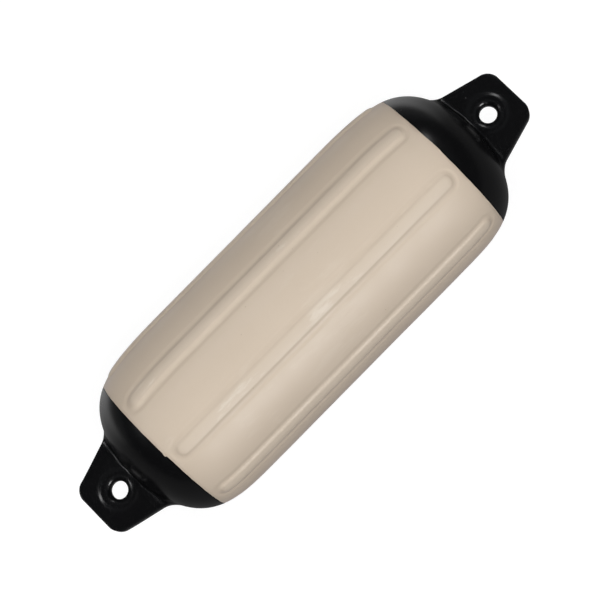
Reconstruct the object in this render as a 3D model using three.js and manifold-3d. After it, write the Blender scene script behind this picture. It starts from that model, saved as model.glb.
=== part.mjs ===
// Pneumatic boat fender with a rope eye at each end.
// The long axis lies along X. Both eye tabs lie flat, so their rope bores run along Z.
// The barrel rests at Z = 0 on a small flat spot between two ribs.
// The air chamber is sealed and can't be seen into, so each moulding is one solid.

import * as THREE from 'three';
import { ParametricGeometry } from 'three/addons/geometries/ParametricGeometry.js';
import { mergeVertices } from 'three/addons/utils/BufferGeometryUtils.js';
import Module from 'manifold-3d';

const wasm = await Module();
wasm.setup();

// Barrel and rounded ends, in millimetres
const barrelRadius = 107.4;
const sleeveHalfLength = 230;
const domeDepth = 50.5;
const shoulderLength = 160;
const shoulderPower = 6.5;
const flatSpotWidth = 24;
const seamGap = 0.3;

// Raised ribs along the barrel, each with a shallow groove round its foot
const ribCount = 8;
const ribWidth = 26;
const ribHeight = 2.3;
const ribFlank = 7.5;
const ribCrown = 0.4;
const ribSetback = 8.7;
const grooveDepth = 0.5;
const grooveWidth = 5;

// Eye tab at each end
const tabLength = 62.5;
const tabTipWidth = 69.6;
const tabTaper = THREE.MathUtils.degToRad(15.9);
const tabThickness = 16;
const tabCornerRadius = 12;
const tabEdgeRound = 2;
const tabRootFillet = 10;

// Rope eye and its raised lip
const eyeSetback = 38.5;
const eyeBore = 21;
const lipDiameter = 40;
const lipWidth = 13;
const lipRise = 1.5;
const eyeDish = 5;

// Inflation valve, set in the underside of one end
const valveSetback = 20;
const valveTurn = THREE.MathUtils.degToRad(-45);
const valveFlangeWidth = 17;
const valveFlangeDepth = 1.8;
const valveStemWidth = 8;
const valveLength = 15;
const valveSunk = 1.2;
const valveClearance = 0.3;
const valveEdge = 0.6;
const needleBore = 2.2;
const needleDepth = 9;

// Facets
const gapFacets = 4;
const ribEndFacets = 3;
const shoulderFacets = 5;
const domeTurnFacets = 56;
const domeFacets = 12;
const eyeTurnFacets = 32;
const cornerFacets = 6;
const valveTurnFacets = 24;

// Places along X, from the middle of the fender
const shoulderStart = sleeveHalfLength - shoulderLength;
const domeReach = sleeveHalfLength + domeDepth;
const tabReach = domeReach + tabLength;
const eyePlace = tabReach - eyeSetback;
const ribReach = sleeveHalfLength - ribSetback;
const valvePlace = sleeveHalfLength + valveSetback;

const axisHeight = Math.sqrt(barrelRadius ** 2 - (flatSpotWidth / 2) ** 2);
const ribPitch = 2 * Math.PI / ribCount;

const sleeveVinyl = new THREE.MeshStandardMaterial({ color: 0xcdbaa4, roughness: 0.45, metalness: 0 });
const endVinyl = new THREE.MeshStandardMaterial({ color: 0x0b0b0d, roughness: 0.3, metalness: 0 });
const valveRubber = new THREE.MeshStandardMaterial({ color: 0x1c1c1e, roughness: 0.6, metalness: 0 });

// A closed geometry as a solid that can be joined and cut
function asSolid(geometry) {
  const bare = geometry.clone();
  bare.deleteAttribute('normal');
  bare.deleteAttribute('uv');
  const merged = mergeVertices(bare, 1e-4);
  const corner = merged.index.array;
  const triVerts = [];
  for (let i = 0; i < corner.length; i += 3) {
    const [a, b, c] = [corner[i], corner[i + 1], corner[i + 2]];
    if (a !== b && b !== c && c !== a) triVerts.push(a, b, c);
  }
  const vertProperties = merged.attributes.position.array;
  const mesh = new wasm.Mesh({ numProp: 3, vertProperties, triVerts: Uint32Array.from(triVerts) });
  return new wasm.Manifold(mesh);
}

// A solid as a named mesh
function asMesh(name, solid, material) {
  const { vertProperties, triVerts } = solid.getMesh();
  const geometry = new THREE.BufferGeometry();
  geometry.setAttribute('position', new THREE.BufferAttribute(Float32Array.from(vertProperties), 3));
  geometry.setIndex(new THREE.BufferAttribute(Uint32Array.from(triVerts), 1));
  geometry.computeVertexNormals();
  const mesh = new THREE.Mesh(geometry, material);
  mesh.name = name;
  return mesh;
}

// Radius of the smooth skin at a distance from the middle, under the ribs
function skinRadius(place) {
  const along = (Math.abs(place) - shoulderStart) / (domeReach - shoulderStart);
  if (along <= 0) return barrelRadius;
  return barrelRadius * Math.sqrt(Math.max(1 - along ** shoulderPower, 0));
}

// Height of the nearest rib over the skin, below it in the groove round the rib's foot
function ribRise(place, angle) {
  const ribAngle = (Math.floor(angle / ribPitch) + 0.5) * ribPitch;
  const across = (angle - ribAngle) * barrelRadius;
  const along = Math.max(Math.abs(place) - (ribReach - ribWidth / 2), 0);
  const inward = ribWidth / 2 - Math.hypot(across, along);
  if (inward < 0) return -grooveDepth * Math.max(1 + inward / grooveWidth, 0);
  const shoulder = ribHeight - ribCrown;
  if (inward < ribFlank) return -grooveDepth + (shoulder + grooveDepth) * inward / ribFlank;
  return shoulder + ribCrown * (inward - ribFlank) / (ribWidth / 2 - ribFlank);
}

// Angles round the barrel, with facet edges on every groove, foot and crown
function ribAngles() {
  const half = ribWidth / 2;
  const edges = [-half - grooveWidth, -half, ribFlank - half, 0, half - ribFlank, half, half + grooveWidth];
  const gap = ribPitch - (ribWidth + 2 * grooveWidth) / barrelRadius;
  const angles = [];
  for (let rib = 0; rib < ribCount; rib++) {
    const marks = edges.map((edge) => (rib + 0.5) * ribPitch + edge / barrelRadius);
    angles.push(...marks);
    for (let i = 1; i < gapFacets; i++) {
      angles.push(marks[marks.length - 1] + gap * i / gapFacets);
    }
  }
  angles.push(angles[0] + 2 * Math.PI);
  return angles;
}

// Distances from the middle for the rings of the barrel, out to the seam
function barrelPlaces() {
  const ribEnd = ribReach - ribWidth / 2;
  const seam = sleeveHalfLength - seamGap / 2;
  const places = [];
  for (let i = 0; i < shoulderFacets; i++) {
    places.push(shoulderStart + (ribEnd - shoulderStart) * Math.sqrt(i / shoulderFacets));
  }
  for (let i = 0; i <= ribEndFacets; i++) {
    places.push(ribEnd + (ribReach - ribFlank - ribEnd) * Math.sin(Math.PI / 2 * i / ribEndFacets));
  }
  places.push(ribReach, ribReach + grooveWidth, seam);
  return places;
}

// The pale sleeve: one skin with its ribs, closed by a disc at each seam
function sleeve() {
  const right = barrelPlaces();
  const places = [...right.map((place) => -place).reverse(), ...right];
  const angles = ribAngles();
  const rings = places.length + 2;
  const skin = (u, v, target) => {
    const ring = Math.round(v * (rings - 1));
    const angle = angles[Math.round(u * (angles.length - 1))];
    const place = places[Math.min(Math.max(ring - 1, 0), places.length - 1)];
    const closed = ring === 0 || ring === rings - 1;
    const radius = closed ? 0 : skinRadius(place) + ribRise(place, angle);
    target.set(place, radius * Math.cos(angle), radius * Math.sin(angle));
  };
  const whole = asSolid(new ParametricGeometry(skin, angles.length - 1, rings - 1));
  const below = new THREE.BoxGeometry(2 * sleeveHalfLength, 2 * barrelRadius, barrelRadius);
  below.translate(0, 0, -axisHeight - barrelRadius / 2);
  return whole.subtract(asSolid(below));
}

// The rounded end outside the seam, turned about X
function dome() {
  const seam = sleeveHalfLength + seamGap / 2;
  const profile = [new THREE.Vector2(0, seam)];
  for (let i = 0; i <= domeFacets; i++) {
    const place = seam + (domeReach - seam) * Math.sin(Math.PI / 2 * i / domeFacets);
    profile.push(new THREE.Vector2(i === domeFacets ? 0 : skinRadius(place), place));
  }
  const geometry = new THREE.LatheGeometry(profile, domeTurnFacets);
  geometry.rotateZ(-Math.PI / 2);
  return asSolid(geometry);
}

// Half the tab's width at a distance from the middle
function tabHalfWidth(place) {
  return tabTipWidth / 2 + (tabReach - place) * Math.tan(tabTaper);
}

// Where the tab's sides, run on straight, meet the dome
function tabRoot() {
  let inner = sleeveHalfLength;
  let outer = domeReach;
  while (outer - inner > 0.01) {
    const middle = (inner + outer) / 2;
    if (skinRadius(middle) > tabHalfWidth(middle)) inner = middle;
    else outer = middle;
  }
  return inner;
}

// Plan outline of the tab: a trapezoid with round corners that flares into the dome
function tabOutline() {
  const turn = Math.PI / 2 - tabTaper;
  const cornerHalf = tabTipWidth / 2 - tabCornerRadius * Math.tan(turn / 2);
  const cornerPlace = tabReach - tabCornerRadius;
  const root = tabRoot();
  const flare = root + tabRootFillet;
  const buried = root - tabRootFillet;
  const buriedHalf = skinRadius(buried) - tabEdgeRound;
  const outline = new THREE.Shape();
  outline.moveTo(tabReach, -cornerHalf);
  outline.absarc(cornerPlace, cornerHalf, tabCornerRadius, 0, turn, false);
  outline.lineTo(flare, tabHalfWidth(flare));
  outline.quadraticCurveTo(root, tabHalfWidth(root), buried, buriedHalf);
  outline.lineTo(buried, -buriedHalf);
  outline.quadraticCurveTo(root, -tabHalfWidth(root), flare, -tabHalfWidth(flare));
  outline.absarc(cornerPlace, -cornerHalf, tabCornerRadius, -turn, 0, false);
  return outline;
}

// The flat tab with rounded edges, open where the eye goes
function tabPlate() {
  const outline = tabOutline();
  const opening = new THREE.Path();
  opening.absarc(eyePlace, 0, lipDiameter / 2, 0, 2 * Math.PI, true);
  outline.holes.push(opening);
  const geometry = new THREE.ExtrudeGeometry(outline, {
    depth: tabThickness - 2 * tabEdgeRound,
    bevelThickness: tabEdgeRound,
    bevelSize: tabEdgeRound,
    bevelOffset: -tabEdgeRound,
    bevelSegments: 2,
    curveSegments: cornerFacets,
  });
  geometry.translate(0, 0, tabEdgeRound - tabThickness / 2);
  return asSolid(geometry);
}

// The ring round the rope bore: dished towards the bore, with a raised lip on both faces
function eyeRing() {
  const bore = eyeBore / 2;
  const crest = lipDiameter / 2;
  const foot = crest + lipWidth / 2;
  const shoulder = crest + lipWidth / 4;
  const face = tabThickness / 2;
  const top = face + lipRise;
  const sunk = face - tabEdgeRound;
  const ring = new THREE.Path();
  ring.moveTo(foot, -sunk);
  ring.lineTo(foot, -face);
  ring.quadraticCurveTo(shoulder, -top, crest, -top);
  ring.quadraticCurveTo(bore, -top, bore, eyeDish - face);
  ring.lineTo(bore, face - eyeDish);
  ring.quadraticCurveTo(bore, top, crest, top);
  ring.quadraticCurveTo(shoulder, top, foot, face);
  ring.lineTo(foot, sunk);
  ring.lineTo(foot, -sunk);
  const geometry = new THREE.LatheGeometry(ring.getPoints(cornerFacets / 2).reverse(), eyeTurnFacets);
  geometry.rotateX(Math.PI / 2);
  geometry.translate(eyePlace, 0, 0);
  return asSolid(geometry);
}

// Where the valve sits on the dome, with its axis square to the skin
function valveSeat() {
  const step = 0.01;
  const slope = (skinRadius(valvePlace + step) - skinRadius(valvePlace - step)) / (2 * step);
  const outward = new THREE.Vector3(-slope, Math.cos(valveTurn), Math.sin(valveTurn)).normalize();
  const radius = skinRadius(valvePlace);
  const onSkin = new THREE.Vector3(valvePlace, radius * Math.cos(valveTurn), radius * Math.sin(valveTurn));
  const turn = new THREE.Quaternion().setFromUnitVectors(new THREE.Vector3(0, 1, 0), outward);
  return { turn, centre: onSkin.addScaledVector(outward, -valveSunk) };
}

// A profile turned about Y and set on the valve's seat
function onValveSeat(profile) {
  const points = profile.map(([radius, height]) => new THREE.Vector2(radius, height));
  const geometry = new THREE.LatheGeometry(points, valveTurnFacets);
  const { turn, centre } = valveSeat();
  geometry.applyQuaternion(turn);
  geometry.translate(centre.x, centre.y, centre.z);
  return asSolid(geometry);
}

// The rubber plug that a pump needle goes through
function needleValve() {
  const flange = valveFlangeWidth / 2;
  const stem = valveStemWidth / 2;
  const needle = needleBore / 2;
  return onValveSeat([
    [0, -valveLength],
    [stem - valveEdge, -valveLength],
    [stem, valveEdge - valveLength],
    [stem, -valveFlangeDepth],
    [flange, -valveFlangeDepth],
    [flange, -valveEdge],
    [flange - valveEdge, 0],
    [needle + valveEdge, 0],
    [needle, -valveEdge],
    [needle, -needleDepth],
    [0, -needleDepth],
  ]);
}

// The stepped pocket that the valve is pressed into, open to the outside
function valvePocket() {
  const flange = valveFlangeWidth / 2 + valveClearance;
  const stem = valveStemWidth / 2 + valveClearance;
  const step = -valveFlangeDepth - valveClearance;
  const floor = -valveLength - valveClearance;
  return onValveSeat([[0, floor], [stem, floor], [stem, step], [flange, step], [flange, flange], [0, flange]]);
}

// One dark end moulding on the +X side: the dome, its tab and the eye in it
function endMoulding() {
  return dome().add(tabPlate()).add(eyeRing());
}

const rightEnd = asMesh('end_right', endMoulding().subtract(valvePocket()), endVinyl);
const leftEnd = asMesh('end_left', endMoulding(), endVinyl);
leftEnd.rotation.z = Math.PI;

const fender = new THREE.Group();
fender.position.z = axisHeight;
fender.add(asMesh('sleeve', sleeve(), sleeveVinyl));
fender.add(rightEnd);
fender.add(leftEnd);
fender.add(asMesh('valve', needleValve(), valveRubber));

export default fender;
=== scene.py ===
"""Looks of a pneumatic boat fender: ribbed vinyl sleeve, glossy moulded ends, rope eyes and valve.

Everything is in metres, in the frame of the solids: X along the fender, Z up, floor at Z = 0.
"""

import math

import bmesh
import bpy
import numpy as np
from mathutils import Matrix, Vector


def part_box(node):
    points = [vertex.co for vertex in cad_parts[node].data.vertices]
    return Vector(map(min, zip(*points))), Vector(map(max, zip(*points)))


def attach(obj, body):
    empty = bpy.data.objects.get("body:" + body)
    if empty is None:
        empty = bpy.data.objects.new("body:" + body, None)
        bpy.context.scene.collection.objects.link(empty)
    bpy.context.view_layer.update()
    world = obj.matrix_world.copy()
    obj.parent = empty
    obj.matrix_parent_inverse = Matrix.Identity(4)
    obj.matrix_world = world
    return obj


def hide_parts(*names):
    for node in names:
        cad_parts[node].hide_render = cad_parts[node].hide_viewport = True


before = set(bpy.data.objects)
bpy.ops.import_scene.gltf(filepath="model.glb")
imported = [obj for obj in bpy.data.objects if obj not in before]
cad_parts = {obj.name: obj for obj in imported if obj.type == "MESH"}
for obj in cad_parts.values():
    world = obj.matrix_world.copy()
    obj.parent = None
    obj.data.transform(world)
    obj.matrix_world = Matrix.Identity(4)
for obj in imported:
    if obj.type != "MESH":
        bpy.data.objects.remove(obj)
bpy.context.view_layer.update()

MM = 0.001
WHITE = (1, 1, 1, 1)

# Sizes that follow the solids
sleeve_low, sleeve_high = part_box("sleeve")
end_low, end_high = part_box("end_right")
BARREL_RADIUS = (sleeve_high.y - sleeve_low.y) / 2
AXIS_HEIGHT = sleeve_high.z - BARREL_RADIUS
SEAM = (sleeve_high.x + end_low.x) / 2
SEAM_GAP = end_low.x - sleeve_high.x
TAB_REACH = end_high.x

# Rounded ends
SHOULDER_START = SEAM - 160 * MM
DOME_REACH = SEAM + 50.5 * MM
SHOULDER_POWER = 6.5

# Ribs
RIB_COUNT = 8
RIB_PITCH = 2 * math.pi / RIB_COUNT
RIB_WIDTH = 26 * MM
RIB_HEIGHT = 2.3 * MM
RIB_FLANK = 7 * MM
RIB_CROWN = 1.4 * MM
RIB_REACH = SEAM - 8.7 * MM
RIB_SHIFT = -1.7 * MM
GROOVE_DEPTH = 0.5 * MM
GROOVE_WIDTH = 5 * MM

# Eye tabs
TAB_TIP_WIDTH = 69.6 * MM
TAB_TAPER = math.radians(15.9)
TAB_THICKNESS = 16 * MM
TAB_CORNER = 12 * MM
TAB_EDGE = 2 * MM
FACE_FILLET = 5 * MM
SIDE_FILLET = 9 * MM
EYE_PLACE = TAB_REACH - 38.5 * MM
EYE_BORE = 21 * MM
LIP_DIAMETER = 40 * MM
LIP_WIDTH = 13 * MM
LIP_RISE = 1.5 * MM
EYE_DISH = 5 * MM

# Valve
VALVE_PLACE = SEAM + 20 * MM
VALVE_TURN = math.radians(-45)
VALVE_FLANGE = 17 * MM
VALVE_FLANGE_DEPTH = 1.8 * MM
VALVE_STEM = 8 * MM
VALVE_LENGTH = 15 * MM
VALVE_SUNK = 1.2 * MM
VALVE_CLEARANCE = 0.3 * MM
VALVE_EDGE = 0.6 * MM
VALVE_RING_SHARE = 0.62
NEEDLE_BORE = 2.2 * MM
NEEDLE_DEPTH = 9 * MM

# Camera: nearly overhead, rolled so that the fender climbs to the upper right
CAMERA_ELEVATION = math.radians(78)
CAMERA_ROLL = math.radians(45.4)
CAMERA_DISTANCE = 2.955
CAMERA_ANGLE = math.radians(13.42)
PICTURE_SHIFT_RIGHT = 3.8 * MM
PICTURE_SHIFT_DOWN = 1.8 * MM

# Finishes
SAND = (0.610, 0.515, 0.415, 1)
SAND_DEEP = (0.570, 0.475, 0.375, 1)
# Colour of the painted shade in the grooves round the rib feet
SAND_GROOVE_SHADE = (0.38, 0.30, 0.22, 1)
# Paler colour for the scuffs, also laid evenly over every rib crown
SAND_PALE = (0.74, 0.67, 0.58, 1)
SAND_GRIT = (0.30, 0.22, 0.15, 1)
SHEEN = (0.95, 0.82, 1.0, 1)
RUBBED_PLACE = 35 * MM
RUBBED_REACH = 90 * MM
BLACK = (0.0034, 0.0034, 0.0038, 1)
BLACK_RUBBED = (0.030, 0.030, 0.032, 1)
BLACK_GRIT = (0.22, 0.22, 0.21, 1)
RUBBER = (0.016, 0.016, 0.017, 1)
RUBBER_RUBBED = (0.05, 0.05, 0.05, 1)

# Colour line: millimetres outwards, and degrees round the fender from +Y over the top
NOTCH_TURN = 108.8
NOTCH_STEP = 1.1
NOTCH_FADE = 150
NOTCH_TICK = 0.7
LEFT_LINE = 0.9
LEFT_TILT = 1.5
LEFT_TILT_TURN = 60
RIGHT_LINE = -2.1

# How far from the joint the skin follows that line
SEAM_BLEND = 25 * MM

# Droop of the soft ends towards -Y, in millimetres
SHOULDER_DROOP = 1.2
LEFT_TAB_DROOP = 1.9
RIGHT_TAB_LIFT = 0.4

# Slow dents of the soft skin
DENT_DEPTH = 0.8 * MM
DENT_SCALE = 9.0
DENT_SEED = 2.0

# Mesh steps in millimetres: over a rib's edge, round the barrel from gap to gap,
# along it from the middle to the joint, and the grid that the ends are drawn on
FINE = 0.65
ROUND_STEPS = (3.6, FINE, 1.6, FINE, 3.6)
LONG_STEPS = (6.0, 4.0, 0.8, 1.2, 0.5)
END_CELL = 1.1

# Studio
ROOM_LIGHT = 0.16
BACKDROP_TINT = (0.90, 0.95, 1.0, 1)
BACKDROP_LIGHT = 0.12
DARK_ROOM = 0.025
CEILING_RING = 0.13
PAPER = (0.25, 0.25, 0.25, 1)
PAPER_GLOW = 0.84
PAPER_MIRRORED = (0.02, 0.02, 0.02, 1)
PAPER_GLOW_NEAR = 0.08
PAPER_GLOW_BEHIND = 0.90
PAPER_GLOW_FAR = 0.10
FLOOR_REACH = 6.0
SIDE_SLANT = 0.3


# Camera, light and floor


def make_camera():
    """Aims at the middle of the fender from above, at the photograph's angle."""
    elevation, roll = CAMERA_ELEVATION, CAMERA_ROLL
    back = Vector((0, -math.cos(elevation), math.sin(elevation)))
    across = Vector((0, math.sin(elevation), math.cos(elevation)))
    along = Vector((1, 0, 0))
    right = math.cos(roll) * along - math.sin(roll) * across
    up = math.sin(roll) * along + math.cos(roll) * across
    aim = Vector((0, 0, AXIS_HEIGHT)) - PICTURE_SHIFT_RIGHT * right + PICTURE_SHIFT_DOWN * up
    data = bpy.data.cameras.new("camera")
    data.angle = CAMERA_ANGLE
    data.clip_start = 0.05
    camera = bpy.data.objects.new("camera", data)
    place = Matrix((right, up, back)).transposed().to_4x4()
    place.translation = aim + back * CAMERA_DISTANCE
    camera.matrix_world = place
    bpy.context.scene.collection.objects.link(camera)
    bpy.context.scene.camera = camera


def add_softbox(name, place, aim, width, height, power):
    """A rectangular lamp at place, facing aim."""
    data = bpy.data.lights.new(name, "AREA")
    data.shape = "RECTANGLE"
    data.size = width
    data.size_y = height
    data.energy = power
    lamp = bpy.data.objects.new(name, data)
    lamp.location = place
    lamp.rotation_euler = (Vector(aim) - Vector(place)).to_track_quat("-Z", "Y").to_euler()
    bpy.context.scene.collection.objects.link(lamp)
    return lamp


def distance_behind(sheet, x, y):
    """Distance towards +Y, less a share of the distance to either side."""
    aside = sheet.math("MULTIPLY", sheet.math("ABSOLUTE", x), SIDE_SLANT)
    return sheet.math("SUBTRACT", y, aside)


def light_the_studio():
    """Softboxes round a dim room. Gloss also shows a weak backdrop behind and a paler ring overhead."""
    middle = (0, 0, AXIS_HEIGHT)
    right_tab, left_tab = (EYE_PLACE, 0, AXIS_HEIGHT), (-EYE_PLACE, 0, AXIS_HEIGHT)
    # Name, place, aim, width, height, power, spread in degrees, and whether gloss shows it
    lamps = [
        ("overhead_softbox", (0, -1.05, 3.00), middle, 2.2, 1.2, 37, 180, False),
        ("rear_softbox", (0, 1.00, 2.45), middle, 1.8, 0.6, 20.5, 180, False),
        ("front_strip", (0, -2.25, 1.41), middle, 0.9, 0.45, 24, 180, True),
        ("right_box", (2.00, 1.15, 1.95), right_tab, 1.2, 1.0, 0.26, 18, True),
        ("left_box", (-2.00, 1.15, 1.95), left_tab, 1.2, 1.0, 0.32, 18, True),
    ]
    for name, place, aim, width, height, power, spread, mirrored in lamps:
        lamp = add_softbox(name, place, aim, width, height, power)
        lamp.data.spread = math.radians(spread)
        lamp.visible_camera = False
        lamp.visible_glossy = mirrored
    world = bpy.data.worlds.new("studio")
    bpy.context.scene.world = world
    world.use_nodes = True
    sheet = NodeSheet(world.node_tree)
    background = world.node_tree.nodes["Background"]
    x, y, z = sheet.split(sheet.add("ShaderNodeTexCoord").outputs["Generated"])
    low = sheet.map_range(z, 0.0, 0.2, 1.0, 0.0)
    behind = distance_behind(sheet, x, y)
    behind = sheet.map_range(behind, 0.0, 0.5, 0.03, 1.0)
    glow = sheet.math("MULTIPLY", sheet.math("MULTIPLY", low, behind), BACKDROP_LIGHT)
    rim = sheet.map_range(z, 0.45, 0.75, 0.0, 1.0)
    crest = sheet.map_range(z, 0.84, 0.97, 1.0, 0.0)
    ring = sheet.math("MULTIPLY", rim, crest)
    room = sheet.blend(ring, DARK_ROOM, CEILING_RING)
    rays = sheet.add("ShaderNodeLightPath").outputs
    strength = sheet.blend(rays["Is Glossy Ray"], ROOM_LIGHT, sheet.math("ADD", glow, room))
    sheet.feed(background.inputs["Strength"], sheet.blend(rays["Is Camera Ray"], strength, 1.0))
    tint = sheet.blend_colour(rays["Is Glossy Ray"], WHITE, BACKDROP_TINT)
    sheet.feed(background.inputs["Color"], tint)


def make_floor():
    """A wide floor that the camera and gloss see as pale paper, with the fender's soft shadow."""
    half = FLOOR_REACH
    mesh = bpy.data.meshes.new("floor")
    corners = [(-half, -half, 0), (half, -half, 0), (half, half, 0), (-half, half, 0)]
    mesh.from_pydata(corners, [], [(0, 1, 2, 3)])
    floor = bpy.data.objects.new("floor", mesh)
    bpy.context.scene.collection.objects.link(floor)
    material, sheet, shader = new_material("floor_paper")
    shader.inputs["Roughness"].default_value = 0.9
    shader.inputs["Specular IOR Level"].default_value = 0.0
    shader.inputs["Emission Color"].default_value = WHITE
    rays = sheet.add("ShaderNodeLightPath").outputs
    x, y, z = sheet.split(sheet.add("ShaderNodeTexCoord").outputs["Object"])
    behind = distance_behind(sheet, x, y)
    far = sheet.map_range(y, 0.2, 0.6, PAPER_GLOW_BEHIND, PAPER_GLOW_FAR)
    mirrored = sheet.map_range(behind, -0.05, 0.25, PAPER_GLOW_NEAR, far)
    seen = sheet.math("MULTIPLY", rays["Is Camera Ray"], PAPER_GLOW)
    sheet.feed(shader.inputs["Emission Strength"], sheet.blend(rays["Is Glossy Ray"], seen, mirrored))
    paper = sheet.blend_colour(rays["Is Glossy Ray"], PAPER, PAPER_MIRRORED)
    sheet.feed(shader.inputs["Base Color"], paper)
    floor.data.materials.append(material)


# Node helpers


class NodeSheet:
    """Writes formulas as nodes in one tree."""

    def __init__(self, tree):
        self.tree = tree

    def add(self, kind, **settings):
        node = self.tree.nodes.new(kind)
        for name, value in settings.items():
            setattr(node, name, value)
        return node

    def feed(self, socket, value):
        if isinstance(value, bpy.types.NodeSocket):
            self.tree.links.new(value, socket)
        else:
            socket.default_value = value

    def math(self, operation, *values):
        node = self.add("ShaderNodeMath", operation=operation)
        for socket, value in zip(node.inputs, values):
            self.feed(socket, value)
        return node.outputs[0]

    def map_range(self, value, low, high, to_low, to_high, shape="SMOOTHSTEP"):
        node = self.add("ShaderNodeMapRange", interpolation_type=shape)
        for socket, given in zip(node.inputs, (value, low, high, to_low, to_high)):
            self.feed(socket, given)
        return node.outputs[0]

    def split(self, vector):
        node = self.add("ShaderNodeSeparateXYZ")
        self.feed(node.inputs[0], vector)
        return node.outputs

    def join(self, x, y, z):
        node = self.add("ShaderNodeCombineXYZ")
        for socket, value in zip(node.inputs, (x, y, z)):
            self.feed(socket, value)
        return node.outputs[0]

    def noise(self, vector, scale, detail, roughness, seed):
        node = self.add("ShaderNodeTexNoise", noise_dimensions="4D")
        given = {"Vector": vector, "Scale": scale, "Detail": detail, "Roughness": roughness, "W": seed}
        for name, value in given.items():
            self.feed(node.inputs[name], value)
        return node.outputs[0]

    def blend(self, factor, first, second):
        node = self.add("ShaderNodeMix", data_type="FLOAT")
        for socket, value in zip(node.inputs[0:1] + node.inputs[2:4], (factor, first, second)):
            self.feed(socket, value)
        return node.outputs[0]

    def blend_colour(self, factor, first, second):
        node = self.add("ShaderNodeMix", data_type="RGBA")
        for socket, value in zip(node.inputs[0:1] + node.inputs[6:8], (factor, first, second)):
            self.feed(socket, value)
        return node.outputs[2]


def new_group(name, kind, inputs, outputs):
    """An empty node group with its named sockets. inputs and outputs are (name, socket type) pairs."""
    tree = bpy.data.node_groups.new(name, kind)
    for label, socket_type in inputs:
        tree.interface.new_socket(label, in_out="INPUT", socket_type=socket_type)
    for label, socket_type in outputs:
        tree.interface.new_socket(label, in_out="OUTPUT", socket_type=socket_type)
    sheet = NodeSheet(tree)
    return tree, sheet, sheet.add("NodeGroupInput"), sheet.add("NodeGroupOutput")


def new_material(name):
    """A material with its Principled shader, and a sheet to write its nodes on."""
    material = bpy.data.materials.new(name)
    material.use_nodes = True
    return material, NodeSheet(material.node_tree), material.node_tree.nodes["Principled BSDF"]


# Shader groups that the vinyl and rubber share


def make_grain_group():
    """Height of a moulded skin: fine grain over a slow swell."""
    inputs = [("Vector", "NodeSocketVector"), ("Grain Scale", "NodeSocketFloat")]
    inputs += [("Swell Scale", "NodeSocketFloat"), ("Swell Share", "NodeSocketFloat")]
    tree, sheet, given, result = new_group(
        "moulded_grain", "ShaderNodeTree", inputs, [("Height", "NodeSocketFloat")]
    )
    grain = sheet.noise(given.outputs["Vector"], given.outputs["Grain Scale"], 3.0, 0.6, 1.0)
    swell = sheet.noise(given.outputs["Vector"], given.outputs["Swell Scale"], 1.0, 0.5, 2.0)
    height = sheet.blend(given.outputs["Swell Share"], grain, swell)
    sheet.feed(result.inputs["Height"], height)
    return tree


def make_scuff_group():
    """Mask of light rubbed marks: short streaks that lie in scattered patches."""
    inputs = [("Vector", "NodeSocketVector"), ("Scale", "NodeSocketFloat")]
    inputs += [("Amount", "NodeSocketFloat"), ("Seed", "NodeSocketFloat")]
    tree, sheet, given, result = new_group(
        "scuff_marks", "ShaderNodeTree", inputs, [("Mask", "NodeSocketFloat")]
    )
    x, y, z = sheet.split(given.outputs["Vector"])
    stretched = sheet.join(sheet.math("MULTIPLY", x, 0.25), y, z)
    streaks = sheet.noise(stretched, given.outputs["Scale"], 4.0, 0.65, given.outputs["Seed"])
    patch_scale = sheet.math("MULTIPLY", given.outputs["Scale"], 0.12)
    patches = sheet.noise(given.outputs["Vector"], patch_scale, 2.0, 0.5, given.outputs["Seed"])
    level = sheet.math("SUBTRACT", 0.86, sheet.math("MULTIPLY", given.outputs["Amount"], 0.3))
    both = sheet.math("ADD", sheet.math("MULTIPLY", streaks, 0.6), sheet.math("MULTIPLY", patches, 0.55))
    mask = sheet.map_range(both, level, sheet.math("ADD", level, 0.09), 0.0, 1.0)
    sheet.feed(result.inputs["Mask"], mask)
    return tree


def make_speck_group():
    """Mask of small scattered specks of grit."""
    inputs = [("Vector", "NodeSocketVector"), ("Scale", "NodeSocketFloat")]
    inputs += [("Size", "NodeSocketFloat"), ("Share", "NodeSocketFloat")]
    tree, sheet, given, result = new_group(
        "grit_specks", "ShaderNodeTree", inputs, [("Mask", "NodeSocketFloat")]
    )
    cells = sheet.add("ShaderNodeTexVoronoi", feature="F1")
    sheet.feed(cells.inputs["Vector"], given.outputs["Vector"])
    sheet.feed(cells.inputs["Scale"], given.outputs["Scale"])
    chosen = sheet.math("LESS_THAN", sheet.split(cells.outputs["Color"])[0], given.outputs["Share"])
    near = sheet.math("LESS_THAN", cells.outputs["Distance"], given.outputs["Size"])
    sheet.feed(result.inputs["Mask"], sheet.math("MULTIPLY", chosen, near))
    return tree


def use_group(sheet, tree, **values):
    """Places a shader group and gives its inputs. Underscores in a name stand for spaces."""
    node = sheet.add("ShaderNodeGroup", node_tree=tree)
    for name, value in values.items():
        sheet.feed(node.inputs[name.replace("_", " ")], value)
    return node.outputs[0]


def add_bump(sheet, shader, height, strength, distance):
    """Feeds a height to the shader's normal."""
    bump = sheet.add("ShaderNodeBump")
    bump.inputs["Strength"].default_value = strength
    bump.inputs["Distance"].default_value = distance
    sheet.feed(bump.inputs["Height"], height)
    sheet.feed(shader.inputs["Normal"], bump.outputs["Normal"])


# Materials


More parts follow.
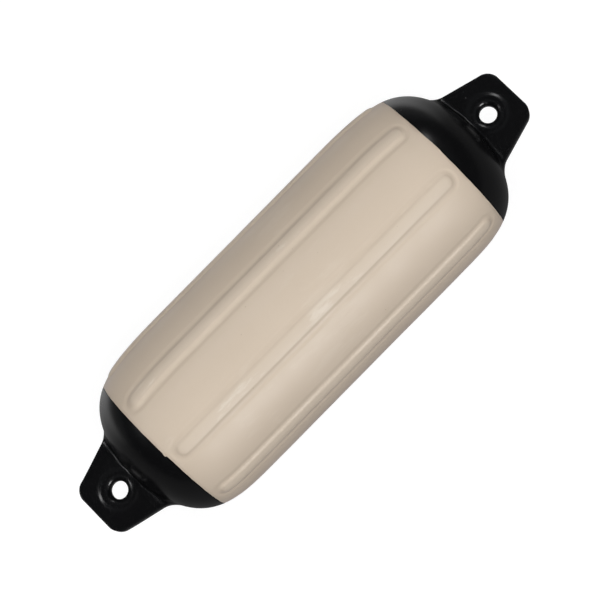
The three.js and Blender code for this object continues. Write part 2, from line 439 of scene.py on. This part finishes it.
def make_sleeve_vinyl(grain, scuffs, specks):
    """Satin sand-coloured vinyl: painted shade in the grooves round the rib feet, scuffed rib crowns that
    are all made a little paler, and a few specks.
    """
    material, sheet, shader = new_material("sleeve_vinyl")
    place = sheet.add("ShaderNodeTexCoord").outputs["Object"]
    rise = sheet.add("ShaderNodeAttribute", attribute_name="rise").outputs["Fac"]
    cloud = sheet.noise(place, 9.0, 3.0, 0.55, 3.0)
    colour = sheet.blend_colour(cloud, SAND_DEEP, SAND)
    # Painted shade: the grooves round each rib's foot are darkened a little
    groove_shade = sheet.map_range(rise, -0.22, -0.05, 0.06, 0.0)
    colour = sheet.blend_colour(groove_shade, colour, SAND_GROOVE_SHADE)
    from_patch = sheet.math("ABSOLUTE", sheet.math("SUBTRACT", sheet.split(place)[0], RUBBED_PLACE))
    amount = sheet.map_range(from_patch, 0.0, RUBBED_REACH, 0.92, 0.60)
    rubbed = use_group(sheet, scuffs, Vector=place, Scale=90.0, Amount=amount, Seed=4.0)
    crown = sheet.map_range(rise, 0.5, 1.0, 0.25, 1.0)
    worn = sheet.math("MULTIPLY", rubbed, crown)
    # Scuffed crowns take up to half of the paler colour, and every rib crown takes up to 12% of it, scuffed
    # or not
    paler = sheet.math("ADD", sheet.math("MULTIPLY", worn, 0.5), sheet.map_range(rise, 0.6, 1.0, 0.0, 0.12))
    colour = sheet.blend_colour(paler, colour, SAND_PALE)
    grit = use_group(sheet, specks, Vector=place, Scale=120.0, Size=0.07, Share=0.05)
    colour = sheet.blend_colour(sheet.math("MULTIPLY", grit, 0.5), colour, SAND_GRIT)
    sheet.feed(shader.inputs["Base Color"], colour)
    shader.inputs["Sheen Weight"].default_value = 0.2
    shader.inputs["Sheen Roughness"].default_value = 0.35
    shader.inputs["Sheen Tint"].default_value = SHEEN
    sheen = sheet.noise(place, 26.0, 3.0, 0.6, 5.0)
    rough = sheet.map_range(sheen, 0.3, 0.7, 0.40, 0.50)
    sheet.feed(shader.inputs["Roughness"], sheet.math("ADD", rough, sheet.math("MULTIPLY", worn, 0.12)))
    height = use_group(
        sheet, grain, Vector=place, Grain_Scale=1500.0, Swell_Scale=140.0, Swell_Share=0.45
    )
    add_bump(sheet, shader, height, 0.18, 0.4 * MM)
    return material


def make_end_vinyl(grain, scuffs, specks):
    """Glossy black vinyl with a faint swell, light scuffs and a few bright specks."""
    material, sheet, shader = new_material("end_vinyl")
    place = sheet.add("ShaderNodeTexCoord").outputs["Object"]
    rubbed = use_group(sheet, scuffs, Vector=place, Scale=130.0, Amount=0.5, Seed=7.0)
    colour = sheet.blend_colour(sheet.math("MULTIPLY", rubbed, 0.6), BLACK, BLACK_RUBBED)
    grit = use_group(sheet, specks, Vector=place, Scale=100.0, Size=0.08, Share=0.03)
    colour = sheet.blend_colour(sheet.math("MULTIPLY", grit, 0.6), colour, BLACK_GRIT)
    sheet.feed(shader.inputs["Base Color"], colour)
    sheen = sheet.noise(place, 34.0, 3.0, 0.6, 8.0)
    rough = sheet.map_range(sheen, 0.3, 0.7, 0.20, 0.27)
    sheet.feed(shader.inputs["Roughness"], sheet.math("ADD", rough, sheet.math("MULTIPLY", rubbed, 0.2)))
    height = use_group(
        sheet, grain, Vector=place, Grain_Scale=1200.0, Swell_Scale=160.0, Swell_Share=0.6
    )
    add_bump(sheet, shader, height, 0.09, 0.3 * MM)
    return material


def make_valve_rubber(grain, scuffs):
    """Matt dark rubber."""
    material, sheet, shader = new_material("valve_rubber")
    place = sheet.add("ShaderNodeTexCoord").outputs["Object"]
    rubbed = use_group(sheet, scuffs, Vector=place, Scale=500.0, Amount=0.6, Seed=9.0)
    sheet.feed(shader.inputs["Base Color"], sheet.blend_colour(rubbed, RUBBER, RUBBER_RUBBED))
    sheet.feed(shader.inputs["Roughness"], sheet.map_range(rubbed, 0.0, 1.0, 0.55, 0.7))
    height = use_group(
        sheet, grain, Vector=place, Grain_Scale=2500.0, Swell_Scale=400.0, Swell_Share=0.3
    )
    add_bump(sheet, shader, height, 0.2, 0.2 * MM)
    return material


# Shapes


def skin_radius(place):
    """Radius of the smooth skin at a distance from the middle, under the ribs."""
    along = np.maximum(np.abs(place) - SHOULDER_START, 0) / (DOME_REACH - SHOULDER_START)
    return BARREL_RADIUS * np.sqrt(np.maximum(1 - along**SHOULDER_POWER, 0))


def smooth_step(value):
    """0 up to 0, 1 from 1, with an easy climb between."""
    value = np.clip(value, 0, 1)
    return value * value * (3 - 2 * value)


def bell(value, centre, width):
    """1 at the centre, falling smoothly to nothing a few widths away."""
    return np.exp(-(((value - centre) / width) ** 2))


def seam_wander(angle, left):
    """How far the colour line strays outwards at an angle round the fender, from +Y over the top."""
    turn = np.degrees(angle) % 360
    ragged = 0.08 * np.sin(17 * angle + 1) + 0.06 * np.sin(29 * angle + 2) + 0.05 * np.sin(47 * angle)
    step_back = -NOTCH_STEP * np.clip(1 - (turn - NOTCH_TURN) / NOTCH_FADE, 0, 1) * (turn > NOTCH_TURN)
    tick = NOTCH_TICK * bell(turn, NOTCH_TURN - 1.5, 1.6) * (turn <= NOTCH_TURN)
    left_line = LEFT_LINE + LEFT_TILT * np.cos(angle - math.radians(LEFT_TILT_TURN)) + step_back + tick
    right_line = RIGHT_LINE + 0.7 * bell(turn, 93, 6) - 0.5 * bell(turn, 55, 20)
    return (np.where(left, left_line, right_line) + ragged) * MM


def soften_shape(points):
    """Moves each colour line along the skin, so that it wanders, and lets the ends droop."""
    x, y, z = points.T
    y_axis, z_axis = y, z - AXIS_HEIGHT
    nearness = np.clip(1 - np.abs(np.abs(x) - SEAM) / SEAM_BLEND, 0, 1)
    ease = smooth_step(nearness)
    shift = np.sign(x) * ease * seam_wander(np.arctan2(z_axis, y_axis), x < 0)
    scale = np.where(ease > 0, skin_radius(x + shift) / np.maximum(skin_radius(x), MM), 1)
    return np.stack([x + shift, y_axis * scale - sag(x), z_axis * scale + AXIS_HEIGHT], axis=1)


def sag(x):
    """How far the fender droops towards -Y: a little at both shoulders, more at the left tab."""
    shoulders = SHOULDER_DROOP * smooth_step((np.abs(x) - 150 * MM) / (75 * MM))
    left_tab = LEFT_TAB_DROOP * smooth_step((-x - 270 * MM) / (60 * MM))
    right_tab = -RIGHT_TAB_LIFT * smooth_step((x - 250 * MM) / (30 * MM))
    return (shoulders + left_tab + right_tab) * MM


def new_piece(name, points, faces):
    """A mesh object at the origin, made of points and faces."""
    mesh = bpy.data.meshes.new(name)
    mesh.from_pydata([tuple(point) for point in points], [], faces)
    piece = bpy.data.objects.new(name, mesh)
    bpy.context.scene.collection.objects.link(piece)
    return piece


def read_points(mesh):
    points = np.empty(len(mesh.vertices) * 3)
    mesh.vertices.foreach_get("co", points)
    return points.reshape(-1, 3)


def write_points(mesh, points):
    mesh.vertices.foreach_set("co", points.ravel())
    mesh.update()


def close_rims(mesh):
    """Closes each open rim with a fan of faces to its middle."""
    work = bmesh.new()
    work.from_mesh(mesh)
    bmesh.ops.remove_doubles(work, verts=work.verts, dist=0.001 * MM)
    open_edges = [edge for edge in work.edges if edge.is_boundary]
    rims = {}
    for edge in open_edges:
        rims.setdefault(edge.verts[0].co.x > 0, []).append(edge)
    for edges in rims.values():
        places = [vert.co.x for edge in edges for vert in edge.verts]
        centre = work.verts.new((sum(places) / len(places), 0, AXIS_HEIGHT))
        for edge in edges:
            work.faces.new((edge.verts[0], edge.verts[1], centre))
    bmesh.ops.recalc_face_normals(work, faces=work.faces)
    work.to_mesh(mesh)
    work.free()


def finish_shading(mesh, crease=math.radians(40)):
    """Smooth faces, with an edge kept sharp where the surface turns hard."""
    mesh.shade_smooth()
    mesh.set_sharp_from_angle(angle=crease)


# The sleeve, rolled up from a flat sheet


def spread(start, stop, step):
    """Evenly spaced values from start up to but not including stop, about a step apart."""
    count = max(1, round((stop - start) / step))
    return list(np.linspace(start, stop, count, endpoint=False))


def sheet_arcs():
    """Distances round the barrel, close together over each rib's edges."""
    half = RIB_WIDTH / 2
    arcs = []
    for rib in range(RIB_COUNT):
        start, middle = rib * RIB_PITCH * BARREL_RADIUS, (rib + 0.5) * RIB_PITCH * BARREL_RADIUS
        marks = [start, middle - half - GROOVE_WIDTH - MM, middle - half + RIB_FLANK + MM]
        marks += [middle + half - RIB_FLANK - MM, middle + half + GROOVE_WIDTH + MM]
        marks += [(rib + 1) * RIB_PITCH * BARREL_RADIUS]
        for first, last, step in zip(marks, marks[1:], ROUND_STEPS):
            arcs += spread(first, last, step * MM)
    return arcs + [2 * math.pi * BARREL_RADIUS]


def sheet_places():
    """Distances from the middle for the sheet's rows, close together over the rib ends."""
    rib_end = RIB_REACH - RIB_WIDTH / 2
    seam = SEAM - SEAM_GAP / 2
    marks = [0, SHOULDER_START, rib_end - 2 * MM, RIB_REACH + GROOVE_WIDTH + 2 * MM, seam - 2 * MM, seam]
    right = []
    for first, last, step in zip(marks, marks[1:], LONG_STEPS):
        right += spread(first, last, step * MM)
    right.append(seam)
    return [-place for place in reversed(right[1:])] + right


def flat_sheet():
    """The sleeve's skin before it is rolled: X along the fender, Y the distance round it."""
    places, arcs = sheet_places(), sheet_arcs()
    points = [(place, arc, 0) for place in places for arc in arcs]
    wide = len(arcs)
    faces = []
    for row in range(len(places) - 1):
        for column in range(wide - 1):
            corner = row * wide + column
            faces.append((corner, corner + wide, corner + wide + 1, corner + 1))
    return new_piece("sleeve_moulding", points, faces)


def make_rolling_tree():
    """Geometry nodes that roll a flat sheet into the barrel and raise its ribs."""
    sizes = ["Barrel Radius", "Shoulder Start", "Dome Reach", "Shoulder Power", "Rib Count"]
    sizes += ["Rib Width", "Rib Height", "Rib Flank", "Rib Crown", "Rib Reach", "Rib Shift"]
    sizes += ["Groove Depth", "Groove Width", "Axis Height", "Dent Depth", "Dent Scale", "Seed"]
    inputs = [("Geometry", "NodeSocketGeometry")]
    inputs += [(size, "NodeSocketFloat") for size in sizes]
    inputs += [("Material", "NodeSocketMaterial")]
    tree, sheet, given, result = new_group(
        "roll_and_rib", "GeometryNodeTree", inputs, [("Geometry", "NodeSocketGeometry")]
    )
    size = {name: given.outputs[name] for name in sizes}
    place, arc, _ = sheet.split(sheet.add("GeometryNodeInputPosition").outputs[0])
    angle = sheet.math("DIVIDE", arc, size["Barrel Radius"])

    # The smooth skin, which rounds in towards each end
    past = sheet.math("SUBTRACT", sheet.math("ABSOLUTE", place), size["Shoulder Start"])
    span = sheet.math("SUBTRACT", size["Dome Reach"], size["Shoulder Start"])
    along = sheet.math("MAXIMUM", sheet.math("DIVIDE", past, span), 0.0)
    fall = sheet.math("SUBTRACT", 1.0, sheet.math("POWER", along, size["Shoulder Power"]))
    skin = sheet.math("MULTIPLY", size["Barrel Radius"], sheet.math("SQRT", fall))

    # How far a point lies inside the nearest rib's foot, with round rib ends
    pitch = sheet.math("DIVIDE", 2 * math.pi, size["Rib Count"])
    step = sheet.math("SUBTRACT", sheet.math("FRACT", sheet.math("DIVIDE", angle, pitch)), 0.5)
    across = sheet.math("MULTIPLY", sheet.math("MULTIPLY", step, pitch), size["Barrel Radius"])
    half = sheet.math("MULTIPLY", size["Rib Width"], 0.5)
    rib_place = sheet.math("ABSOLUTE", sheet.math("SUBTRACT", place, size["Rib Shift"]))
    rib_end = sheet.math("SUBTRACT", size["Rib Reach"], half)
    over = sheet.math("MAXIMUM", sheet.math("SUBTRACT", rib_place, rib_end), 0.0)
    squares = sheet.math("ADD", sheet.math("MULTIPLY", across, across), sheet.math("MULTIPLY", over, over))
    inward = sheet.math("SUBTRACT", half, sheet.math("SQRT", squares))

    # The groove round the foot, the flank, and the crown that rounds over from the middle of the flank
    groove_edge = sheet.math("MULTIPLY", size["Groove Width"], -1.0)
    groove_floor = sheet.math("MULTIPLY", size["Groove Depth"], -1.0)
    whole_climb = sheet.math("ADD", size["Rib Height"], size["Groove Depth"])
    climb = sheet.math("SUBTRACT", whole_climb, size["Rib Crown"])
    groove = sheet.map_range(inward, groove_edge, 0.0, 0.0, groove_floor)
    flank = sheet.map_range(inward, 0.0, size["Rib Flank"], 0.0, climb)
    crown_foot = sheet.math("MULTIPLY", size["Rib Flank"], 0.5)
    from_middle = sheet.map_range(inward, crown_foot, half, 1.0, 0.0, "LINEAR")
    bulge = sheet.math("SUBTRACT", 1.0, sheet.math("MULTIPLY", from_middle, from_middle))
    crown = sheet.math("MULTIPLY", bulge, size["Rib Crown"])
    rise = sheet.math("ADD", sheet.math("ADD", groove, flank), crown)

    # Slow dents of a soft skin
    cosine, sine = sheet.math("COSINE", angle), sheet.math("SINE", angle)
    on_barrel = sheet.join(
        place,
        sheet.math("MULTIPLY", cosine, size["Barrel Radius"]),
        sheet.math("MULTIPLY", sine, size["Barrel Radius"]),
    )
    wave = sheet.noise(on_barrel, size["Dent Scale"], 1.0, 0.5, size["Seed"])
    inward_wave = sheet.math("MINIMUM", sheet.math("SUBTRACT", wave, 0.6), 0.0)
    dent = sheet.math("MULTIPLY", inward_wave, size["Dent Depth"])

    radius = sheet.math("ADD", sheet.math("ADD", skin, rise), dent)
    y = sheet.math("MULTIPLY", radius, cosine)
    z = sheet.math("ADD", sheet.math("MULTIPLY", radius, sine), size["Axis Height"])
    rolled = sheet.join(place, y, sheet.math("MAXIMUM", z, 0.0))

    store = sheet.add("GeometryNodeStoreNamedAttribute", data_type="FLOAT", domain="POINT")
    store.inputs["Name"].default_value = "rise"
    sheet.feed(store.inputs["Geometry"], given.outputs["Geometry"])
    sheet.feed(store.inputs["Value"], sheet.math("DIVIDE", rise, size["Rib Height"]))
    move = sheet.add("GeometryNodeSetPosition")
    sheet.feed(move.inputs["Geometry"], store.outputs["Geometry"])
    sheet.feed(move.inputs["Position"], rolled)
    weld = sheet.add("GeometryNodeMergeByDistance")
    sheet.feed(weld.inputs["Geometry"], move.outputs["Geometry"])
    weld.inputs["Distance"].default_value = 0.01 * MM
    realize = sheet.add("GeometryNodeRealizeInstances")
    sheet.feed(realize.inputs["Geometry"], weld.outputs["Geometry"])
    paint = sheet.add("GeometryNodeSetMaterial")
    sheet.feed(paint.inputs["Geometry"], realize.outputs["Geometry"])
    sheet.feed(paint.inputs["Material"], given.outputs["Material"])
    sheet.feed(result.inputs["Geometry"], paint.outputs["Geometry"])
    return tree


def apply_tree(piece, tree, values):
    """Runs a node tree on a piece with its named inputs, and keeps the result as a plain mesh."""
    modifier = piece.modifiers.new(tree.name, "NODES")
    modifier.node_group = tree
    for socket in tree.interface.items_tree:
        if socket.item_type == "SOCKET" and socket.name in values:
            modifier[socket.identifier] = values[socket.name]
    bpy.context.view_layer.update()
    evaluated = piece.evaluated_get(bpy.context.evaluated_depsgraph_get())
    made = bpy.data.meshes.new_from_object(evaluated)
    made.name = piece.name
    piece.modifiers.clear()
    piece.data = made


def make_sleeve(vinyl):
    """The ribbed sleeve: a flat sheet rolled up, ribbed, set to the colour line and closed at both ends."""
    sleeve = flat_sheet()
    sizes = {
        "Barrel Radius": BARREL_RADIUS,
        "Shoulder Start": SHOULDER_START,
        "Dome Reach": DOME_REACH,
        "Shoulder Power": float(SHOULDER_POWER),
        "Rib Count": float(RIB_COUNT),
        "Rib Width": RIB_WIDTH,
        "Rib Height": RIB_HEIGHT,
        "Rib Flank": RIB_FLANK,
        "Rib Crown": RIB_CROWN,
        "Rib Reach": RIB_REACH,
        "Rib Shift": RIB_SHIFT,
        "Groove Depth": GROOVE_DEPTH,
        "Groove Width": GROOVE_WIDTH,
        "Axis Height": AXIS_HEIGHT,
        "Dent Depth": DENT_DEPTH,
        "Dent Scale": DENT_SCALE,
        "Seed": DENT_SEED,
        "Material": vinyl,
    }
    apply_tree(sleeve, make_rolling_tree(), sizes)
    write_points(sleeve.data, soften_shape(read_points(sleeve.data)))
    close_rims(sleeve.data)
    finish_shading(sleeve.data)
    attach(sleeve, "root")
    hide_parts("sleeve")


# The ends, as one smooth surface round a field of distances


def round_corner(first, second, radius):
    """Distance to what lies inside both surfaces, with their shared edge rounded."""
    outside = np.hypot(np.maximum(first + radius, 0), np.maximum(second + radius, 0))
    return outside + np.minimum(np.maximum(first, second) + radius, 0) - radius


def round_join(first, second, radius):
    """Distance to what lies inside either surface, with a fillet where they meet."""
    inside = np.hypot(np.maximum(radius - first, 0), np.maximum(radius - second, 0))
    return np.maximum(np.minimum(first, second), radius) - inside


def dome_field(x, y, z):
    """About the distance to the rounded end."""
    along = np.maximum(x - SHOULDER_START, 0) / (DOME_REACH - SHOULDER_START)
    out = np.hypot(y, z) / BARREL_RADIUS
    level = out**2 + along**SHOULDER_POWER - 1
    rise_out = 2 * out / BARREL_RADIUS
    rise_along = SHOULDER_POWER * along ** (SHOULDER_POWER - 1) / (DOME_REACH - SHOULDER_START)
    return level / np.hypot(np.maximum(rise_out, 1), rise_along)


def tab_outline_field(x, y):
    """About the distance to the tab's plan outline: a trapezoid with round corners."""
    half = TAB_TIP_WIDTH / 2 + (TAB_REACH - x) * math.tan(TAB_TAPER)
    side = (np.abs(y) - half) * math.cos(TAB_TAPER)
    return round_corner(side, x - TAB_REACH, TAB_CORNER)


def eye_field(out, height):
    """About the distance to the dished wall between the lip's crest and the bore."""
    deep = LIP_RISE + EYE_DISH
    wall = LIP_DIAMETER / 2 - EYE_BORE / 2
    above = np.maximum(height - (TAB_THICKNESS / 2 - EYE_DISH), 0) / deep
    return (np.hypot((LIP_DIAMETER / 2 - out) / wall, above) - 1) * wall


def tab_field(x, y, z):
    """About the distance to the flat tab with its eye."""
    out = np.hypot(x - EYE_PLACE, y)
    beyond = np.clip((out - LIP_DIAMETER / 2) / (LIP_WIDTH / 2), 0, 1)
    lip = LIP_RISE * (0.5 + 0.5 * np.cos(math.pi * beyond))
    face = np.abs(z) - TAB_THICKNESS / 2 - lip
    plate = round_corner(tab_outline_field(x, y), face, TAB_EDGE)
    eye = np.where(out < LIP_DIAMETER / 2, eye_field(out, np.abs(z)), -MM)
    return np.maximum(plate, eye)


def end_field(x, y, z):
    """About the distance to one end moulding, in its own frame with the fender's axis at zero."""
    aside = smooth_step((np.abs(y) - 30 * MM) / (22 * MM))
    fillet = FACE_FILLET + (SIDE_FILLET - FACE_FILLET) * aside
    return round_join(dome_field(x, y, z), tab_field(x, y, z), fillet)


def settle_on_surface(points, field):
    """Slides points along the field's slope until they lie where it is zero."""
    nudge = 0.01 * MM
    for _ in range(4):
        slope = np.empty_like(points)
        for axis in range(3):
            ahead, behind = points.copy(), points.copy()
            ahead[:, axis] += nudge
            behind[:, axis] -= nudge
            slope[:, axis] = (field(*ahead.T) - field(*behind.T)) / (2 * nudge)
        steep = np.maximum((slope**2).sum(axis=1), 0.1)
        points = points - slope * (field(*points.T) / steep)[:, None]
    return points


def wrap_surface(field, low, high, cell):
    """Points and four-sided faces of the surface where a field is zero, one point to a grid cell."""
    axes = [np.arange(low[k], high[k] + cell, cell) for k in range(3)]
    value = field(*np.meshgrid(*axes, indexing="ij", sparse=True))
    inside = value < 0
    spans = [len(axis) - 1 for axis in axes]
    count = np.zeros(spans, int)
    for corner in np.ndindex(2, 2, 2):
        part = tuple(slice(corner[k], corner[k] + spans[k]) for k in range(3))
        count += inside[part]
    cells = np.argwhere((count > 0) & (count < 8))
    number = np.full(spans, -1)
    number[tuple(cells.T)] = np.arange(len(cells))

    total = np.zeros((len(cells), 3))
    crossings = np.zeros(len(cells))
    for axis in range(3):
        others = [k for k in range(3) if k != axis]
        for offset in np.ndindex(2, 2):
            start = np.zeros(3, int)
            start[others] = offset
            stop = start.copy()
            stop[axis] = 1
            first = value[tuple((cells + start).T)]
            last = value[tuple((cells + stop).T)]
            crosses = (first < 0) != (last < 0)
            share = np.where(crosses, first / np.where(crosses, first - last, 1), 0)
            where = start + share[:, None] * (stop - start)
            total += where * crosses[:, None]
            crossings += crosses
    points = np.array(low) + (cells + total / crossings[:, None]) * cell

    faces = []
    for axis in range(3):
        u, v = (axis + 1) % 3, (axis + 2) % 3
        lower = inside.take(range(spans[axis]), axis)
        upper = inside.take(range(1, spans[axis] + 1), axis)
        at = np.argwhere(lower != upper)
        at = at[(at[:, u] > 0) & (at[:, v] > 0) & (at[:, u] < spans[u]) & (at[:, v] < spans[v])]
        ring = []
        for back_u, back_v in ((1, 1), (0, 1), (0, 0), (1, 0)):
            cell_at = at.copy()
            cell_at[:, u] -= back_u
            cell_at[:, v] -= back_v
            ring.append(number[tuple(cell_at.T)])
        ring = np.stack(ring, axis=1)
        outward = lower[tuple(at.T)]
        faces += ring[outward].tolist() + ring[~outward][:, ::-1].tolist()
    return settle_on_surface(points, field), faces


def cut_at_seam(piece, place):
    """Trims a piece on the +X side flat at the seam."""
    work = bmesh.new()
    work.from_mesh(piece.data)
    whole = [*work.verts, *work.edges, *work.faces]
    bmesh.ops.bisect_plane(
        work, geom=whole, plane_co=(place, 0, 0), plane_no=(1, 0, 0), clear_inner=True
    )
    work.to_mesh(piece.data)
    work.free()


def end_surface():
    """Points and faces of one end on the +X side, left open at the seam."""
    cell = END_CELL * MM
    reach = float(skin_radius(SEAM - 6 * MM)) + 3 * MM
    low = (SEAM - 4 * MM, -reach, -reach)
    high = (TAB_REACH + 3 * MM, reach, reach)
    return wrap_surface(end_field, low, high, cell)


def make_end(name, points, faces, vinyl, half_turn):
    """One end moulding, turned to its side of the fender and trimmed to the colour line."""
    end = new_piece(name + "_moulding", points, faces)
    cut_at_seam(end, SEAM + SEAM_GAP / 2)
    placed = read_points(end.data)
    if half_turn:
        placed[:, :2] *= -1
    placed[:, 2] += AXIS_HEIGHT
    write_points(end.data, soften_shape(placed))
    close_rims(end.data)
    end.data.materials.append(vinyl)
    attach(end, "root")
    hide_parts(name)
    return end


# The valve and its pocket


def turned(name, profile, steps):
    """A closed piece turned about its own Y axis, from (radius, height) pairs that start and end on it."""
    work = bmesh.new()
    rings = []
    for radius, height in profile:
        count = 1 if radius == 0 else steps
        turns = [2 * math.pi * k / steps for k in range(count)]
        ring = [work.verts.new((radius * math.cos(a), height, radius * math.sin(a))) for a in turns]
        rings.append(ring if count > 1 else ring * steps)
    for lower, upper in zip(rings, rings[1:]):
        for k in range(steps):
            corners = [lower[k], lower[(k + 1) % steps], upper[(k + 1) % steps], upper[k]]
            distinct = list(dict.fromkeys(corners))
            if len(distinct) > 2:
                work.faces.new(distinct)
    bmesh.ops.recalc_face_normals(work, faces=work.faces)
    mesh = bpy.data.meshes.new(name)
    work.to_mesh(mesh)
    work.free()
    piece = bpy.data.objects.new(name, mesh)
    bpy.context.scene.collection.objects.link(piece)
    return piece


def arc(centre, radius, first, last, steps):
    """Points of an arc, between two angles in degrees."""
    turns = np.radians(np.linspace(first, last, steps + 1))
    return [(centre[0] + radius * math.cos(a), centre[1] + radius * math.sin(a)) for a in turns]


def valve_matrix():
    """Takes a piece turned about Y to the valve's seat on the right end."""
    step = 0.01 * MM
    slope = float(skin_radius(VALVE_PLACE + step) - skin_radius(VALVE_PLACE - step)) / (2 * step)
    outward = Vector((-slope, math.cos(VALVE_TURN), math.sin(VALVE_TURN))).normalized()
    radius = float(skin_radius(VALVE_PLACE))
    seat = Vector((VALVE_PLACE, radius * math.cos(VALVE_TURN), radius * math.sin(VALVE_TURN)))
    seat += Vector((0, 0, AXIS_HEIGHT)) - outward * VALVE_SUNK
    turn = Vector((0, 1, 0)).rotation_difference(outward).to_matrix().to_4x4()
    return Matrix.Translation(seat) @ turn


def make_valve(rubber):
    """The needle valve: a plug with a flange, a raised ring and a countersunk needle hole."""
    flange, stem, needle = VALVE_FLANGE / 2, VALVE_STEM / 2, NEEDLE_BORE / 2
    edge = VALVE_EDGE
    ring = flange * VALVE_RING_SHARE
    profile = [(0, -VALVE_LENGTH)]
    profile += arc((stem - edge, edge - VALVE_LENGTH), edge, -90, 0, 4)
    profile += [(stem, -VALVE_FLANGE_DEPTH), (flange - edge / 3, -VALVE_FLANGE_DEPTH)]
    profile += [(flange, -VALVE_FLANGE_DEPTH + edge / 3)]
    profile += arc((flange - edge, -edge), edge, 0, 90, 5)
    profile += [(ring + edge, -edge / 4), (ring + edge / 2, 0)]
    profile += [(ring - edge / 2, 0), (ring - edge, -edge / 4)]
    profile += arc((needle + edge, -edge * 1.25), edge, 90, 180, 5)
    profile += [(needle, -NEEDLE_DEPTH), (0, -NEEDLE_DEPTH)]
    valve = turned("valve_plug", profile, 48)
    valve.data.transform(valve_matrix())
    finish_shading(valve.data)
    valve.data.materials.append(rubber)
    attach(valve, "root")
    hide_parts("valve")


def cut_valve_pocket(end):
    """Cuts the valve's stepped pocket out of an end, with a softened mouth."""
    flange = VALVE_FLANGE / 2 + VALVE_CLEARANCE
    stem = VALVE_STEM / 2 + VALVE_CLEARANCE
    step = -VALVE_FLANGE_DEPTH - VALVE_CLEARANCE
    floor = -VALVE_LENGTH - VALVE_CLEARANCE
    mouth = VALVE_SUNK
    flare = flange + 2 * mouth
    profile = [(0, floor), (stem, floor), (stem, step), (flange, step), (flange, 0)]
    profile += arc((flare, 0), flare - flange, 180, 120, 6)
    profile += [(flare, flange), (0, flange)]
    cutter = turned("valve_cutter", profile, 64)
    cutter.data.transform(valve_matrix())
    modifier = end.modifiers.new("pocket", "BOOLEAN")
    modifier.operation = "DIFFERENCE"
    modifier.solver = "EXACT"
    modifier.object = cutter
    bpy.context.view_layer.update()
    evaluated = end.evaluated_get(bpy.context.evaluated_depsgraph_get())
    cut = bpy.data.meshes.new_from_object(evaluated)
    cut.name = end.name
    end.modifiers.clear()
    end.data = cut
    bpy.data.objects.remove(cutter)


make_camera()
light_the_studio()
make_floor()

moulded_grain = make_grain_group()
scuff_marks = make_scuff_group()
grit_specks = make_speck_group()
sleeve_vinyl = make_sleeve_vinyl(moulded_grain, scuff_marks, grit_specks)
end_vinyl = make_end_vinyl(moulded_grain, scuff_marks, grit_specks)

make_sleeve(sleeve_vinyl)
end_points, end_faces = end_surface()
left_end = make_end("end_left", end_points, end_faces, end_vinyl, half_turn=True)
right_end = make_end("end_right", end_points, end_faces, end_vinyl, half_turn=False)
cut_valve_pocket(right_end)
for end in (left_end, right_end):
    finish_shading(end.data)
make_valve(make_valve_rubber(moulded_grain, scuff_marks))

bpy.context.scene.view_settings.view_transform = "Standard"
